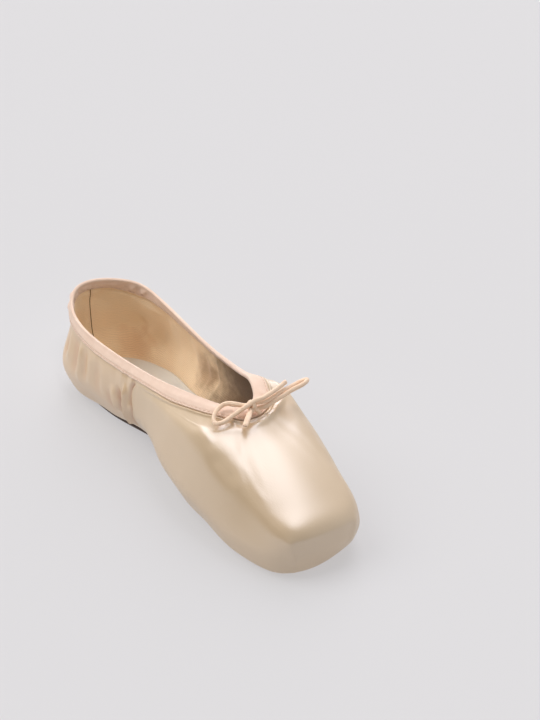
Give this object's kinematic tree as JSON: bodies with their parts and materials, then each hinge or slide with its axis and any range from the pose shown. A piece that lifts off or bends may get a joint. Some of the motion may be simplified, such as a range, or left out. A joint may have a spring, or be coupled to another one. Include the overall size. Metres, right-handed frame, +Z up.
{
  "type": "pointe shoe",
  "caption": "Satin ballet shoe with a hard flat-tipped toe box, bound collar with a tied drawstring, thin insole and narrow leather outsole.",
  "frame": {"origin": "middle of the shoe on the floor, under the box round the shoe without its drawstring", "axes": "+Z up, the toe towards -Y and the heel towards +Y, +X to the right of someone who faces +Y"},
  "size_m": [0.0732, 0.234, 0.0615],
  "materials": {
    "satin": "peach satin with a soft sheen, lined with cotton drill",
    "bias_tape": "matt cotton bias tape, folded and stitched",
    "cotton_sock": "matt woven cotton",
    "leather": "brown sole leather with a dark cut edge",
    "cotton_cord": "matt woven cotton cord"
  },
  "bodies": {
    "root": {"upper": "satin", "binding": "bias_tape", "insole": "cotton_sock", "outsole": "leather", "drawstring_knot": "cotton_cord", "drawstring_left_loop": "cotton_cord", "drawstring_right_loop": "cotton_cord", "drawstring_upper_end": "cotton_cord", "drawstring_lower_end": "cotton_cord"}
  },
  "joints": []
}
